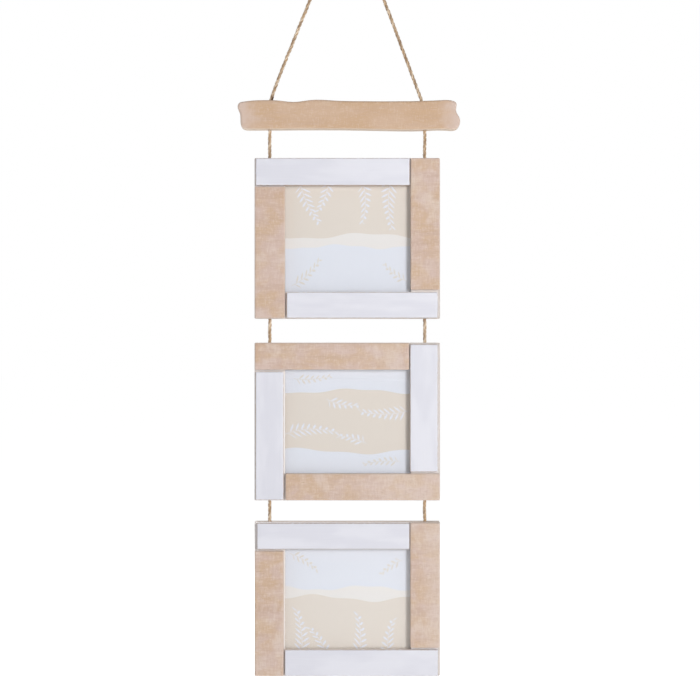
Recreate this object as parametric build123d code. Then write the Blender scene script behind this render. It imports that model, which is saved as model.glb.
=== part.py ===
from build123d import *
import math
import os

# Three small picture frames on jute cords under a wooden crossbar.
# Sizes are in millimetres, +Z is up and the front faces -Y. The origin is the top of the wall hook
# that the hanging cord rests on, and the axis of every cord lies in the plane y = 0.

# Frames: each is a rebated back frame with four flat slats on its front. They are made by hand
# and differ a little in height, but hold prints of one size.
frame_width = 173.0
top_frame_height = 149.9
middle_frame_height = 147.2
bottom_frame_height = 143.9
bar_to_frame_gap = 26.0
first_frame_gap = 22.3
second_frame_gap = 19.9
cord_to_back = 7.06  # from the cords' plane to the flat back of the frames
frame_corner_round = 1.2

# Slats, measured from the back frame's outer edge to the slat's edge at the window.
slat_thickness = 5.0
side_slat_width = 27.3
level_slat_width = 25.3
slat_joint_gap = 1.6
slat_edge_round = 0.8
slat_setback = 2.4  # the furthest that a slat's edge or end stays inside the back frame's edge
# One row a frame: the top, right, bottom and left slat.
edge_setback_shares = ((0.15, 0.15, 0.20, 0.15), (0.10, 0.85, 0.10, 0.45), (0.40, 0.15, 0.20, 0.15))
end_setback_shares = ((0.50, 0.15, 0.85, 0.15), (0.15, 0.65, 0.15, 0.30), (1.00, 0.25, 0.75, 0.20))

# Rebate and the flat sheets in it, from front to back.
side_lip = 4.9
least_level_lip = 1.75  # in the tallest frame; the others have more
lip_overhang = 0.3  # slats stand this far past the lip at the top, right and bottom
lip_show = 1.2  # the lip shows this far past the left slat
lip_thickness = 2.0
glass_thickness = 2.0
print_thickness = 0.3
board_thickness = 2.5
board_play = 0.2
sheet_clearance = 0.6

# Turn buttons in round seats, with their heads below the flat back.
button_length = 22.0
button_width = 9.0
button_thickness = 1.0
button_reach = 4.5  # how far a closed button lies over the backing board
button_edge_bevel = 0.25
button_float = 0.1  # air above and below a button
seat_clearance = 0.5
seat_depth = 3.0
screw_radius = 1.2
screw_length = 6.0  # in the wood
screw_head_radius = 2.6
screw_head_height = 1.2
screw_head_bevel = 0.4
screw_slot_width = 0.6
screw_slot_depth = 0.4
pivot_clearance = 0.05
pilot_clearance = 0.02

# Cords, their holes, and the knots in pockets cut from the back.
cord_radius = 1.4
cord_hole_radius = 2.0
cord_from_side = 14.1  # from a frame's side edge to the cord
mouth_chamfer = 0.4
stub_clearance = 0.2  # between a fixed cord end in its hole and the hinged end at the mouth
pocket_width = 10.0
pocket_length = 15.0
pocket_from_edge = 6.0
pocket_front_wall = 0.6
knot_radius = 3.0
knot_clearance = 0.3
knot_tail_length = 4.5

# Crossbar: a short board with a hand-worn outline.
bar_length = 208.0
bar_height = 28.2
bar_offset = 1.6  # its middle is to the right of the frames' middle
bar_edge_round = 2.0
# Upper edge from left to right, as shares of the bar's length and height.
bar_top_shares = (
    (-0.470, 0.945), (-0.385, 0.990), (-0.310, 0.972), (-0.243, 0.930), (-0.180, 0.985),
    (-0.120, 1.000), (-0.055, 0.970), (0.070, 0.952), (0.290, 0.958), (0.415, 0.990), (0.462, 0.975),
)
bar_right_shares = ((0.4815, 0.900), (0.4800, 0.650), (0.4950, 0.420), (0.4985, 0.250), (0.4850, 0.050))
bar_bottom_shares = ((0.440, 0.010), (0.340, 0.000), (0.120, 0.008), (-0.200, 0.026), (-0.440, 0.016))
bar_left_shares = ((-0.4795, 0.080), (-0.4870, 0.320), (-0.4900, 0.560), (-0.5000, 0.770), (-0.4930, 0.895))
bar_mouth_share = 0.985  # height of the hinged cord ends at the bar's top

# Hanging cord: two straight legs whose lines meet above the hook.
left_leg_run = 72.8
right_leg_run = 67.8
leg_rise = 182.9
frame_offset = 1.5  # the frames' middle is to the left of the point where the legs' lines meet
left_hole_lean = 1.2  # the bar's holes lean inwards from bottom to top
right_hole_lean = 3.2
hook_radius = 3.0

cut_overrun = 1.0

# Values worked out from the sizes above.
half_width = frame_width / 2
window_left = -half_width + side_slat_width
window_right = half_width - side_slat_width
frame_heights = (top_frame_height, middle_frame_height, bottom_frame_height)
tallest_window_top = max(frame_heights) / 2 - level_slat_width
rebate_half_width = window_right + side_lip
rebate_half_height = tallest_window_top + least_level_lip
print_width = 2 * (rebate_half_width - sheet_clearance)
print_height = 2 * (rebate_half_height - sheet_clearance)
sheet_stack = glass_thickness + print_thickness + board_thickness + board_play
back_frame_thickness = lip_thickness + sheet_stack + seat_depth
back_y = cord_to_back
lip_front_y = back_y - back_frame_thickness
glass_y = lip_front_y + lip_thickness
print_y = glass_y + glass_thickness
board_y = print_y + print_thickness
seat_y = back_y - seat_depth
cord_x = half_width - cord_from_side
button_pivot = button_length / 2 - button_reach  # from the rebate's edge to the button's screw
seat_radius = button_length / 2 + seat_clearance
pocket_y = lip_front_y + pocket_front_wall
bend_radius = hook_radius + cord_radius


def hanging_point_shift():
    """From the point where the legs' lines meet to the top of the hook between them."""
    left = Vector(-left_leg_run, 0, -leg_rise).normalized()
    right = Vector(right_leg_run, 0, -leg_rise).normalized()
    middle = (left + right).normalized()
    half_angle = math.radians(left.get_angle(right)) / 2
    centre = middle * (bend_radius / math.sin(half_angle))
    return centre + Vector(0, 0, hook_radius)


crest = hanging_point_shift() * -1  # where the legs' lines meet
mouth_z = crest.Z - leg_rise
bar_bottom_z = mouth_z - bar_mouth_share * bar_height
middle_x = crest.X - frame_offset
frame_gaps = (bar_to_frame_gap, first_frame_gap, second_frame_gap)
# Each frame's top, and where the pair of link cords above it leaves the piece that it hangs from.
frame_tops = []
link_tops = []
level = bar_bottom_z
for gap, height in zip(frame_gaps, frame_heights):
    link_tops.append(level)
    frame_tops.append(level - gap)
    level -= gap + height


def block(x_span, y_span, z_span):
    """A box between the given limits."""
    spans = (x_span, y_span, z_span)
    sizes = [high - low for low, high in spans]
    centre = [(high + low) / 2 for low, high in spans]
    return Pos(*centre) * Box(*sizes)


def upright_rod(x, y, z_span, radius):
    """A round rod along Z between two heights."""
    low, high = z_span
    return Pos(x, y, (low + high) / 2) * Cylinder(radius, high - low)


def depth_rod(x, z, y_span, radius):
    """A round rod along Y between two depths."""
    low, high = y_span
    return Pos(x, (low + high) / 2, z) * Rot(90, 0, 0) * Cylinder(radius, high - low)


def rod_between(start, end, radius):
    """A round rod from one point to another."""
    line = Line(start, end)
    return sweep(Plane(origin=start, z_dir=line % 0) * Circle(radius), path=line)


def side_places():
    """For each side: its name, the pivot of its turn button and the direction from rail to board."""
    side_x = rebate_half_width + button_pivot
    level_z = rebate_half_height + button_pivot
    return (
        ("top", 0, level_z, 90),
        ("right", side_x, 0, 0),
        ("bottom", 0, -level_z, 90),
        ("left", -side_x, 0, 0),
    )


def knot_pocket(x, half_height, rail_side):
    """A routed slot from the back; rail_side is 1 in the top rail and -1 in the bottom rail."""
    z = rail_side * (half_height - pocket_from_edge - pocket_length / 2)
    outline = SlotOverall(pocket_length, pocket_width, rotation=90)
    plane = Plane(origin=(x, back_y + cut_overrun, z), x_dir=(1, 0, 0), z_dir=(0, -1, 0))
    return extrude(plane * outline, back_y - pocket_y + cut_overrun)


def cord_hole(x, half_height, rail_side):
    """A drilled hole from the frame's edge into the knot pocket, with a small chamfer at its mouth."""
    edge = rail_side * half_height
    inner = rail_side * (half_height - pocket_from_edge - pocket_width / 2)
    outer = edge + rail_side * cut_overrun
    hole = upright_rod(x, 0, sorted((inner, outer)), cord_hole_radius)
    tilt = 0 if rail_side > 0 else 180
    cone = Rot(tilt, 0, 0) * Cone(cord_hole_radius, cord_hole_radius + mouth_chamfer, mouth_chamfer)
    return hole + Pos(x, 0, edge - rail_side * mouth_chamfer / 2) * cone


def back_frame(number):
    """The rebated ring that carries the slats, the sheets, the buttons and the knots."""
    half_height = frame_heights[number - 1] / 2
    window_top = half_height - level_slat_width
    ring = block((-half_width, half_width), (lip_front_y, back_y), (-half_height, half_height))
    ring = fillet(ring.edges().filter_by(Axis.Y), frame_corner_round)
    sight = block(
        (window_left + lip_show, window_right + lip_overhang),
        (lip_front_y - cut_overrun, back_y + cut_overrun),
        (-window_top - lip_overhang, window_top + lip_overhang),
    )
    rebate = block(
        (-rebate_half_width, rebate_half_width),
        (glass_y, back_y + cut_overrun),
        (-rebate_half_height, rebate_half_height),
    )
    ring = ring - sight - rebate
    pilot_end = seat_y - screw_length - pilot_clearance
    for _, x, z, _ in side_places():
        ring -= depth_rod(x, z, (seat_y, back_y + cut_overrun), seat_radius)
        ring -= depth_rod(x, z, (pilot_end, back_y), screw_radius + pilot_clearance)
    rails = (1, -1) if number < len(frame_gaps) else (1,)
    for rail_side in rails:
        for x in (-cord_x, cord_x):
            ring = ring - knot_pocket(x, half_height, rail_side) - cord_hole(x, half_height, rail_side)
    return ring


def slat(x_span, z_span):
    """A flat board on the back frame's front, sanded round everywhere but at its back."""
    board = block(x_span, (lip_front_y - slat_thickness, lip_front_y), z_span)
    glued = board.faces().sort_by(Axis.Y)[-1].edges()
    return fillet(board.edges() - glued, slat_edge_round)


def slats(number):
    """Four slats laid like a pinwheel, so that each one's end meets the next one's side."""
    half_height = frame_heights[number - 1] / 2
    window_top = half_height - level_slat_width
    edges = [share * slat_setback for share in edge_setback_shares[number - 1]]
    ends = [share * slat_setback for share in end_setback_shares[number - 1]]
    top_length = (-half_width + ends[0], window_right - slat_joint_gap)
    right_length = (-window_top + slat_joint_gap, half_height - ends[1])
    bottom_length = (window_left + slat_joint_gap, half_width - ends[2])
    left_length = (-half_height + ends[3], window_top - slat_joint_gap)
    return {
        "top": slat(top_length, (window_top, half_height - edges[0])),
        "right": slat((window_right, half_width - edges[1]), right_length),
        "bottom": slat(bottom_length, (-half_height + edges[2], -window_top)),
        "left": slat((-half_width + edges[3], window_left), left_length),
    }


def sheet(front_y, thickness):
    """A flat sheet that fills the rebate with a little air round it."""
    return block(
        (-print_width / 2, print_width / 2),
        (front_y, front_y + thickness),
        (-print_height / 2, print_height / 2),
    )


def turn_button(x, z, turn):
    """A flat metal bar with round ends that turns on its screw."""
    low_y = seat_y + button_float
    outline = SlotOverall(button_length, button_width) - Circle(screw_radius + pivot_clearance)
    plane = Plane(origin=(x, low_y, z), x_dir=(1, 0, 0), z_dir=(0, 1, 0))
    bar = extrude(plane * Rot(0, 0, turn) * outline, button_thickness)
    rim = bar.faces().sort_by(Axis.Y)[-1].outer_wire().edges()
    return chamfer(rim, button_edge_bevel)


def button_screw(x, z):
    """A small wood screw with a slotted pan head just clear of its button."""
    head_y = seat_y + 2 * button_float + button_thickness
    head = depth_rod(x, z, (head_y, head_y + screw_head_height), screw_head_radius)
    head = chamfer(head.faces().sort_by(Axis.Y)[-1].edges(), screw_head_bevel)
    top_y = head_y + screw_head_height
    slot = block(
        (x - screw_head_radius, x + screw_head_radius),
        (top_y - screw_slot_depth, top_y + cut_overrun),
        (z - screw_slot_width / 2, z + screw_slot_width / 2),
    )
    shank = depth_rod(x, z, (seat_y - screw_length, head_y), screw_radius)
    return head + shank - slot


def stopper_knot(x, half_height, rail_side):
    """A cord's fixed end: a stub in the hole, a knot that can't pass it, and a short tail."""
    stub_start = rail_side * (half_height - cord_radius - stub_clearance)
    pocket_end = half_height - pocket_from_edge
    knot_z = rail_side * (pocket_end - knot_clearance - knot_radius)
    knot_y = pocket_y + knot_clearance + knot_radius
    stub = upright_rod(x, 0, sorted((stub_start, knot_z)), cord_radius)
    knot = Pos(x, knot_y, knot_z) * Sphere(knot_radius)
    tail_end = knot_z - rail_side * (knot_radius + knot_tail_length)
    tail = upright_rod(x, knot_y, sorted((knot_z, tail_end)), cord_radius)
    return stub + knot + tail


def link_cord(x, top_z, bottom_z):
    """A short taut cord whose round ends sit in the mouths of the holes above and below."""
    rod = upright_rod(x, 0, (bottom_z, top_z), cord_radius)
    return rod + Pos(x, 0, top_z) * Sphere(cord_radius) + Pos(x, 0, bottom_z) * Sphere(cord_radius)


def bar_hole_ends():
    """The top and bottom of the bar's left and right cord holes."""
    left, right = middle_x - cord_x, middle_x + cord_x
    return (
        (Vector(left + left_hole_lean, 0, mouth_z), Vector(left, 0, bar_bottom_z)),
        (Vector(right - right_hole_lean, 0, mouth_z), Vector(right, 0, bar_bottom_z)),
    )


def crossbar():
    """The worn board that spreads the cords."""
    middle = middle_x + bar_offset
    shares = bar_top_shares + bar_right_shares + bar_bottom_shares + bar_left_shares
    points = [(middle + x * bar_length, bar_bottom_z + z * bar_height) for x, z in shares]
    outline = Spline(*points, periodic=True)
    thickness = 2 * cord_to_back
    face = Plane(origin=(0, cord_to_back, 0), x_dir=(1, 0, 0), z_dir=(0, -1, 0)) * make_face(outline)
    bar = extrude(face, thickness)
    rims = bar.faces().sort_by(Axis.Y)[0].edges() + bar.faces().sort_by(Axis.Y)[-1].edges()
    bar = fillet(rims, bar_edge_round)
    for top, bottom in bar_hole_ends():
        along = (top - bottom).normalized() * bar_edge_round
        bar -= rod_between(bottom - along, top + along, cord_hole_radius)
    return bar


def bar_stubs():
    """The cord that stays inside the bar's two holes."""
    stubs = []
    for top, bottom in bar_hole_ends():
        along = (top - bottom).normalized() * (cord_radius + stub_clearance)
        stubs.append(rod_between(bottom + along, top - along, cord_radius))
    return Compound(children=stubs)


def hanging_cord():
    """One cord over the hook, from the left hole's mouth to the right hole's mouth."""
    (left, _), (right, _) = bar_hole_ends()
    path = FilletPolyline(left, crest, right, radius=bend_radius)
    tube = sweep(Plane(origin=left, z_dir=path % 0) * Circle(cord_radius), path=path)
    solid_share = tube.volume / (math.pi * cord_radius**2 * path.length)
    print("hanging cord: bend radius", bend_radius, "length", round(path.length, 1))
    print("hanging cord: volume over section times length", round(solid_share, 4))
    return tube + Pos(*left) * Sphere(cord_radius) + Pos(*right) * Sphere(cord_radius)


def frame_parts(number):
    """All pieces of one frame, by name, about the frame's own middle."""
    half_height = frame_heights[number - 1] / 2
    cords = (-cord_x, cord_x)
    parts = {"back_frame": back_frame(number)}
    for side, board in slats(number).items():
        parts[f"{side}_slat"] = board
    parts["glass"] = sheet(glass_y, glass_thickness)
    parts["print"] = sheet(print_y, print_thickness)
    parts["backing_board"] = sheet(board_y, board_thickness)
    for side, x, z, turn in side_places():
        parts[f"{side}_button"] = turn_button(x, z, turn)
    parts["button_screws"] = Compound(children=[button_screw(x, z) for _, x, z, _ in side_places()])
    parts["upper_knots"] = Compound(children=[stopper_knot(x, half_height, 1) for x in cords])
    if number < len(frame_gaps):
        parts["lower_knots"] = Compound(children=[stopper_knot(x, half_height, -1) for x in cords])
    return parts


def all_parts():
    """Every piece in its place, by node name."""
    parts = {"hanging_cord": hanging_cord(), "crossbar": crossbar(), "crossbar_cord_stubs": bar_stubs()}
    for number, (upper, top) in enumerate(zip(link_tops, frame_tops), start=1):
        for side, x in (("left", middle_x - cord_x), ("right", middle_x + cord_x)):
            parts[f"link_cord_{number}_{side}"] = link_cord(x, upper, top)
        place = Pos(middle_x, 0, top - frame_heights[number - 1] / 2)
        for name, piece in frame_parts(number).items():
            parts[f"frame_{number}_{name}"] = place * piece
    return parts


os.makedirs("parts", exist_ok=True)
for node, shape in all_parts().items():
    export_step(shape, f"parts/{node}.step")
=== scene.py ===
"""Three small picture frames on jute cords under a wooden bar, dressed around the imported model."""
import math
import random

import bpy
import numpy as np
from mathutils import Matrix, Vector, noise


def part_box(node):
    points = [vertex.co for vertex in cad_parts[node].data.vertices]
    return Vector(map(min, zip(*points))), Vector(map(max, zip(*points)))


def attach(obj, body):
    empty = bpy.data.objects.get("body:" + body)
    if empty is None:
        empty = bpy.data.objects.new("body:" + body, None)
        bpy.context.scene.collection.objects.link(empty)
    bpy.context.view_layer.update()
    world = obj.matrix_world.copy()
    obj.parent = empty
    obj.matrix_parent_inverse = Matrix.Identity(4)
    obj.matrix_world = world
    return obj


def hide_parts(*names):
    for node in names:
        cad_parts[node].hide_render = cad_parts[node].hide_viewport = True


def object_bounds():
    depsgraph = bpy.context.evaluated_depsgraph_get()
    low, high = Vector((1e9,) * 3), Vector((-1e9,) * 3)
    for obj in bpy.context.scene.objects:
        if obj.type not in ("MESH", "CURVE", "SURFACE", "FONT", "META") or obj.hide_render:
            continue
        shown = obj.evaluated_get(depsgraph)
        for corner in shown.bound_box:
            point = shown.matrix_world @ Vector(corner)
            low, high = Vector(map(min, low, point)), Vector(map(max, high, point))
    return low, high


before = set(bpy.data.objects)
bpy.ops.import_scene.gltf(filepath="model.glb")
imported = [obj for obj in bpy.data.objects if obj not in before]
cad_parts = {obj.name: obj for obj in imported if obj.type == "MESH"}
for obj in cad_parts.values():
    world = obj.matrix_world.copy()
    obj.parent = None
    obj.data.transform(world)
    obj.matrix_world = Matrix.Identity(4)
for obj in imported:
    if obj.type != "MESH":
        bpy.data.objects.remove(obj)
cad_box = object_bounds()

mm = 0.001
SIDES = ("top", "right", "bottom", "left")
FRAMES = (1, 2, 3)
# The slats left as limed wood; the others are painted white.
NATURAL_SLATS = {1: ("right", "left"), 2: ("top", "bottom"), 3: ("right", "left")}
# How much more wash a natural slat carries at its right than at its left.
WASH_SHARES = {(2, "top"): 0.05, (2, "bottom"): 0.32, (3, "right"): 0.42}

# A level camera, fitted to the edges of the frames in the photograph of 700 by 700 pixels.
picture_width = 700
camera_place = (0.0012, -1.600, -0.4065)
focal_pixels = 1711.5
sensor_width = 36.0

# Light: a pale world, a key lamp in front at the right, a weak lamp at the left and one behind.
world_light = 0.14
lamp_distance = 3.0
# Each lamp's azimuth, elevation, width, height and power; azimuth 0 is in front, 90 to the right.
LAMPS = {
    "key": (26.0, 6.5, 0.72, 1.10, 53.6),
    "left_fill": (-65.0, 5.0, 2.0, 2.0, 12.0),
    "back": (205.0, 20.0, 1.0, 1.2, 42.0),
}
floor_size = 60.0
floor_drop = 0.24  # from the object's foot
floor_glow = 0.88  # how bright the floor is seen, beside the lamps' light on it
floor_bounce = 0.26  # light that the floor sends back up

# Jute cord.
cord_radius = 1.4 * mm
ply_count = 3
ply_share = 0.54  # a ply's radius, over the cord's radius
ply_ring_share = 0.60  # the distance of a ply's middle from the cord's line, over the cord's radius
ply_pitch = 13.0 * mm
ply_sides = 10
ring_step = 0.45 * mm
cord_wander = 0.28 * mm
wander_period = 9 * mm
thickness_period = 5 * mm
slub_period = 7 * mm
thread_period = 10 * mm  # of the streaks along a ply


def shade(*levels):
    """A colour in a picture's levels, 0 to 255, as linear red, green, blue and alpha."""

    def channel(level):
        share = level / 255
        return share / 12.92 if share <= 0.04045 else ((share + 0.055) / 1.055) ** 2.4

    return (*(channel(level) for level in levels), 1.0)


LIMED_TAN = shade(204, 175, 148)
LIMED_PINK = shade(208, 184, 173)
LIMED_WASH = shade(224, 208, 197)
LIMED_PORE = shade(192, 162, 142)
BARE_WOOD = shade(158, 122, 94)
RUBBED_EDGE = shade(208, 192, 180)
WHITE_PAINT = shade(226, 226, 234)
WHITE_SHADE = shade(219, 219, 228)
WHITE_GRAIN = shade(208, 205, 209)
WHITE_BRUSH = shade(240, 240, 246)
# Painted light for the upward walls at the foot of the windows.
PAINTED_LIGHT_WALL = shade(252, 242, 236)
BAR_TAN = shade(201, 168, 136)
BAR_PALE = shade(206, 176, 150)
BAR_WASH = shade(214, 193, 182)
# The bar's arrises, partly worn and partly painted light, and its underside, painted light.
BAR_EDGE_WEAR_AND_LIGHT = shade(226, 208, 192)
BAR_UNDERSIDE_LIGHT = shade(236, 216, 196)
BACK_BARE = shade(205, 176, 152)
BACK_BARE_DARK = shade(188, 156, 130)
BACK_WASH = shade(240, 235, 233)
BACK_WASH_SHADE = shade(228, 220, 215)
# Painted shade that tones down the wash on the lit right side.
BACK_WASH_PAINTED_SHADE = shade(192, 185, 178)
BACK_SPECK = shade(220, 200, 184)
BACK_SEAM = shade(118, 90, 70)
BACK_PAINT = shade(238, 233, 230)
JUTE = shade(204, 178, 149)
JUTE_TAN = shade(200, 168, 130)
JUTE_DARK = shade(152, 123, 95)
JUTE_PALE = shade(232, 213, 189)
TUFT_DARK = shade(92, 62, 40)
TUFT_BROWN = shade(128, 92, 62)
PRINT_WHITE = shade(221, 224, 234)
PRINT_BEIGE = shade(219, 209, 199)
PRINT_PALE_BEIGE = shade(229, 225, 223)
PRINT_LINE = shade(225, 226, 236)
PRINT_DARK_LINE = shade(217, 211, 204)
HARDBOARD = shade(118, 82, 56)
HARDBOARD_DARK = shade(88, 58, 38)
HARDBOARD_PALE = shade(138, 98, 68)
GLASS = shade(250, 251, 251)
# These are given as linear values.
ZINC = (0.60, 0.60, 0.61, 1.0)
ZINC_DULL = (0.52, 0.52, 0.54, 1.0)
FLOOR = (0.86, 0.86, 0.86, 1.0)


class Finish:
    """A material made by short calls, whose inputs are numbers, colours or other nodes' outputs."""

    def __init__(self, name):
        self.material = bpy.data.materials.new(name)
        self.material.use_nodes = True
        self.tree = self.material.node_tree
        self.shader = self.tree.nodes["Principled BSDF"]
        self.output = self.tree.nodes["Material Output"]

    def put(self, socket, value):
        """Links an output to the socket, or sets the socket's own value."""
        if isinstance(value, bpy.types.NodeSocket):
            self.tree.links.new(value, socket)
        else:
            socket.default_value = value

    def node(self, kind, inputs=(), **settings):
        """A new node with its settings, and its inputs by name or number."""
        made = self.tree.nodes.new(kind)
        for name, value in settings.items():
            setattr(made, name, value)
        for key, value in dict(inputs).items():
            self.put(made.inputs[key], value)
        return made

    def place(self, offset=(0, 0, 0), scale=(1, 1, 1)):
        """The point in the shared frame, moved and then stretched."""
        point = self.node("ShaderNodeTexCoord").outputs["Object"]
        moved = self.vector("ADD", point, offset)
        return self.vector("MULTIPLY", moved, scale)

    def normal(self):
        """The surface's direction in the piece's own space, which moves with its body."""
        return self.node("ShaderNodeTexCoord").outputs["Normal"]

    def vector(self, operation, first, second):
        node = self.node("ShaderNodeVectorMath", {0: first, 1: second}, operation=operation)
        return node.outputs["Vector"]

    def split(self, vector):
        return self.node("ShaderNodeSeparateXYZ", {0: vector}).outputs

    def math(self, operation, *values):
        return self.node("ShaderNodeMath", dict(enumerate(values)), operation=operation).outputs[0]

    def add(self, first, second):
        return self.math("ADD", first, second)

    def minus(self, first, second):
        return self.math("SUBTRACT", first, second)

    def times(self, first, second):
        return self.math("MULTIPLY", first, second)

    def noise(self, vector, detail, roughness, distortion=0.0):
        inputs = {"Vector": vector, "Scale": 1.0}
        inputs.update({"Detail": detail, "Roughness": roughness, "Distortion": distortion})
        return self.node("ShaderNodeTexNoise", inputs).outputs["Fac"]

    def cloud(self, stretch, detail=3.0, roughness=0.5, distortion=0.0, offset=(0, 0, 0)):
        """Noise with about as many features to the metre along X, Y and Z as stretch says."""
        return self.noise(self.place(offset, stretch), detail, roughness, distortion)

    def step(self, value, low, high, start=0.0, end=1.0):
        """Goes smoothly from start to end while value goes from low to high."""
        inputs = {"Value": value, "From Min": low, "From Max": high, "To Min": start, "To Max": end}
        return self.node("ShaderNodeMapRange", inputs, interpolation_type="SMOOTHSTEP").outputs[0]

    def mix(self, share, first, second):
        """The first colour with a share of the second."""
        node = self.node("ShaderNodeMix", data_type="RGBA")
        self.put(node.inputs["Factor"], share)
        self.put(node.inputs["A"], first)
        self.put(node.inputs["B"], second)
        return node.outputs["Result"]

    def attribute(self, name):
        return self.node("ShaderNodeAttribute", attribute_name=name).outputs["Fac"]

    def bump(self, height, distance, strength):
        inputs = {"Height": height, "Distance": distance, "Strength": strength}
        return self.node("ShaderNodeBump", inputs).outputs["Normal"]

    def dress(self, **inputs):
        """Sets the Principled shader's inputs, with spaces for underscores in their names."""
        for name, value in inputs.items():
            self.put(self.shader.inputs[name.replace("_", " ")], value)
        return self.material


def grain_scale(along, fine, coarse):
    """Stretch for a noise whose features are long along one axis: 0 for X, 1 for Y, 2 for Z."""
    scale = [fine, fine, fine]
    scale[along] = coarse
    return tuple(scale)


def cloth_marks(f, base, offset, dark_share, pale_share):
    """A colour with the fine cross lines that a wiping cloth leaves in a wash, and the lines' height."""
    level = f.cloud((190, 700, 900), 2.0, 0.6, 0.3, offset)
    upright = f.cloud((900, 700, 190), 2.0, 0.6, 0.3, tuple(-value for value in offset))
    weave = f.add(level, upright)
    base = f.mix(f.step(weave, 0.78, 1.00, dark_share, 0.0), base, LIMED_PORE)
    base = f.mix(f.step(weave, 1.02, 1.24, 0.0, pale_share), base, LIMED_WASH)
    return base, weave


def limed_wood(name, seed, pale_share, pale_from, pale_to):
    """Bare wood under a thin lime wash, with level grain and the marks of the cloth that rubbed it.

    The wash grows by pale_share from one place along X to another.
    """
    f = Finish(name)
    offset = (0.31 * seed, 0.17 * seed, 0.23 * seed)

    def field(stretch, detail=3.0, shift=0.0):
        return f.cloud(stretch, detail, 0.6, 0.3, tuple(value + shift for value in offset))

    base = f.mix(f.step(field((44, 44, 62)), 0.36, 0.64), LIMED_TAN, LIMED_PINK)
    base = f.mix(f.step(field((12, 80, 150), 4.0, 0.4), 0.46, 0.66, 0.0, 0.45), base, LIMED_PORE)
    washed = f.step(field((34, 34, 30), 3.0, 0.9), 0.50, 0.68)
    base = f.mix(f.times(washed, 0.55), base, LIMED_WASH)
    x, _, _ = f.split(f.place())
    base = f.mix(f.step(x, pale_from, pale_to, 0.0, pale_share), base, LIMED_WASH)
    base, weave = cloth_marks(f, base, offset, 0.26, 0.36)
    pores = field((150, 900, 1300), 2.0, 2.1)
    base = f.mix(f.step(pores, 0.64, 0.74, 0.0, 0.35), base, BARE_WOOD)
    ragged = f.add(f.attribute("edge_mm"), f.times(field((420, 420, 420)), 1.6))
    base = f.mix(f.step(ragged, 0.9, 1.7, 0.60, 0.0), base, LIMED_WASH)
    # Painted shade: the wall at the window turns bare brown wood, its darkness partly painted shade, to the
    # share its board gives.
    base = f.mix(f.attribute("wall_painted_light"), base, BARE_WOOD)
    return f.dress(
        Base_Color=base,
        Roughness=f.step(washed, 0.0, 1.0, 0.64, 0.78),
        Normal=f.bump(f.minus(weave, pores), 0.10 * mm, 0.6),
    )


def white_paint(name, seed, along, wall):
    """Thin satin white paint through which the grain along one axis shows, rubbed off at the arrises.

    The wall at the window takes the colour given: bare brown wood, darkened as painted shade, at most
    windows' sides, and a pale colour, painted light, at the foot of the white ones.
    """
    f = Finish(name)
    offset = (0.13 * seed, 0.29 * seed, 0.37 * seed)
    broad = f.cloud(grain_scale(along, 60, 16), 2.0, offset=offset)
    grain = f.cloud(grain_scale(along, 1000, 45), 4.0, 0.6, 0.3, offset)
    brush = f.cloud(grain_scale(along, 2600, 30), 2.0, 0.6, offset=offset)
    base = f.mix(f.step(broad, 0.40, 0.62), WHITE_PAINT, WHITE_SHADE)
    base = f.mix(f.step(grain, 0.58, 0.74, 0.0, 0.18), base, WHITE_GRAIN)
    base = f.mix(f.step(brush, 0.35, 0.70, 0.0, 0.08), base, WHITE_BRUSH)
    chips = f.cloud((330, 330, 330), 4.0, 0.65, offset=offset)
    ragged = f.add(f.attribute("edge_mm"), f.times(chips, 1.5))
    bare = f.step(ragged, 0.70, 1.05, 1.0, 0.0)
    base = f.mix(bare, base, RUBBED_EDGE)
    # The wall at the window takes its painted shade or painted light.
    base = f.mix(f.attribute("wall_painted_light"), base, wall)
    height = f.add(f.times(grain, -0.5), f.times(bare, -0.6))
    return f.dress(
        Base_Color=base,
        Roughness=f.step(bare, 0.0, 1.0, 0.50, 0.75),
        Normal=f.bump(height, 0.12 * mm, 0.6),
    )


def bar_wood(name):
    """The crossbar: tan wood with a pale wash towards its ends, pale arrises that are partly worn and partly
    painted light, and painted light on its underside.
    """
    f = Finish(name)
    low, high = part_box("crossbar")
    middle, half = (low.x + high.x) / 2, (high.x - low.x) / 2
    broad = f.cloud((26, 40, 60))
    bands = f.cloud((14, 200, 200), 4.0, 0.6, 0.5, (0.2, 0, 0))
    base = f.mix(f.step(broad, 0.36, 0.64), BAR_TAN, BAR_PALE)
    base = f.mix(f.step(bands, 0.46, 0.68, 0.0, 0.30), base, LIMED_PORE)
    base, weave = cloth_marks(f, base, (0.7, 0.1, 0.4), 0.20, 0.26)
    x, _, _ = f.split(f.place((-middle, 0, 0)))
    reach = f.math("DIVIDE", f.math("ABSOLUTE", x), half)
    patchy = f.add(reach, f.times(f.cloud((70, 90, 90), offset=(0.5, 0, 0)), 0.30))
    base = f.mix(f.step(patchy, 0.94, 1.12, 0.0, 0.80), base, BAR_WASH)
    _, facing, rising = f.split(f.normal())
    # Faces that don't look to the front or back are paler: partly wear, partly painted light.
    base = f.mix(f.step(f.math("ABSOLUTE", facing), 0.20, 0.93, 0.60, 0.0), base, BAR_EDGE_WEAR_AND_LIGHT)
    # Painted light on the faces that look down.
    base = f.mix(f.step(rising, -0.95, -0.45, 0.8, 0.0), base, BAR_UNDERSIDE_LIGHT)
    return f.dress(Base_Color=base, Roughness=0.70, Normal=f.bump(f.add(weave, bands), 0.14 * mm, 0.7))


lip_back = -0.9 * mm  # the lip of a back frame lies in front of this


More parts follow.
